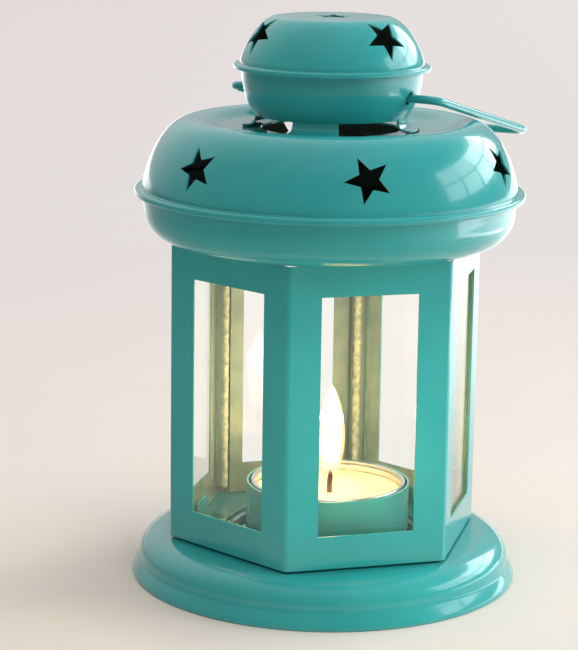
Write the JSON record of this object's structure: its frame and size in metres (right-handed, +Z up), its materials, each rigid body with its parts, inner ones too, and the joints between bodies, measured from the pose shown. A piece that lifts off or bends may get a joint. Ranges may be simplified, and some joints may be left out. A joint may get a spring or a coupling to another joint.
{
  "type": "tealight lantern",
  "caption": "Hexagonal glazed metal lantern for a tealight, with a round star-pierced roof, a chimney cap and a wire bail, standing on a round foot that stays behind when it is lifted.",
  "frame": {"origin": "middle of the whole footprint, on the surface that the foot stands on; the lantern's own axis stands 4.65 mm from it in -X and in -Y, because the bail lies out over one side", "axes": "+Z up along the lantern's axis; one window faces -Y; the bail lies out between +X and +Y"},
  "size_m": [0.1103, 0.1098, 0.1452],
  "materials": {
    "turquoise_enamel": "gloss",
    "clear_glass": "clear",
    "clear_sealant": "translucent, crinkled",
    "aluminium": "thin drawn foil",
    "paraffin_wax": "waxy, wet in the melt pool",
    "cotton_wick": "charred braid"
  },
  "bodies": {
    "foot": {"base_pan": "turquoise_enamel", "tealight_holder": "turquoise_enamel", "holder_rivet": "aluminium"},
    "tealight": {"tealight_cup": "aluminium", "tealight_wax": "paraffin_wax", "tealight_wick": "cotton_wick", "wick_sustainer": "aluminium"},
    "housing": {"body_shell": "turquoise_enamel", "bottom_plate": "turquoise_enamel", "glass_pane_1": "clear_glass", "glass_pane_2": "clear_glass", "glass_pane_3": "clear_glass", "glass_pane_4": "clear_glass", "glass_pane_5": "clear_glass", "glass_pane_6": "clear_glass", "corner_bead_1": "clear_sealant", "corner_bead_2": "clear_sealant", "corner_bead_3": "clear_sealant", "corner_bead_4": "clear_sealant", "corner_bead_5": "clear_sealant", "corner_bead_6": "clear_sealant", "roof_dish": "turquoise_enamel", "roof_dome": "turquoise_enamel", "chimney_bowl": "turquoise_enamel", "cap_dome": "turquoise_enamel"},
    "bail": {"bail": "turquoise_enamel"}
  },
  "joints": [
    {"name": "housing_lift", "type": "slide", "parent": "foot", "child": "housing", "axis": [0, 0, 1], "range_m": [0, 0.03]},
    {"name": "tealight_lift", "type": "slide", "parent": "foot", "child": "tealight", "axis": [0, 0, 1], "range_m": [0, 0.018]},
    {"name": "bail_swing", "type": "hinge", "parent": "housing", "child": "bail", "pos_m": [-0.00465, -0.00465, 0.126], "axis": [0.6984, -0.7157, 0], "range_deg": [0, 206]}
  ]
}
